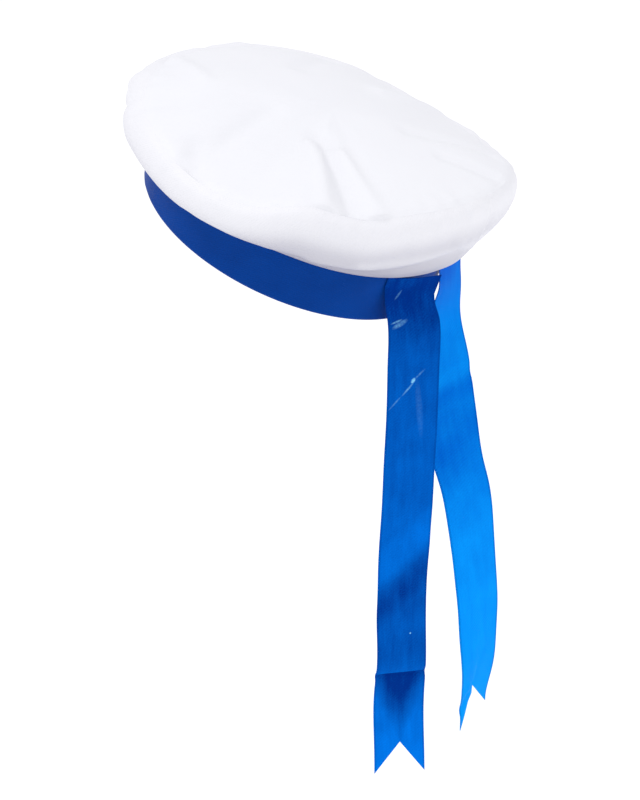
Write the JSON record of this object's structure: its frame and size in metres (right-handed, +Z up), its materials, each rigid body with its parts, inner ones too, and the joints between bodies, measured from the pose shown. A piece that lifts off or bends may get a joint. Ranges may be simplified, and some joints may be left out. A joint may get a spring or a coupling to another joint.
{
  "type": "sailor cap",
  "caption": "Soft round sailor cap with a domed white crown, a rolled side, an upright blue band and swallow-tailed ribbon tails hanging from the back.",
  "frame": {"origin": "middle of the head opening, in the plane of the band's lower edge", "axes": "+X is the wearer's left, +Y the back of the cap, +Z up; the cap sits tipped back by 22 degrees and its tails hang along -Z"},
  "size_m": [0.2187, 0.2213, 0.4085],
  "materials": {
    "crown": "white satin with a soft sheen and a fine diagonal twill",
    "band": "royal blue satin, smooth",
    "ribbon": "royal blue satin ribbon with woven edges"
  },
  "bodies": {
    "root": {"crown_top": "crown", "crown_side": "crown", "headband": "band", "tail_left": "ribbon", "tail_right": "ribbon"}
  },
  "joints": []
}
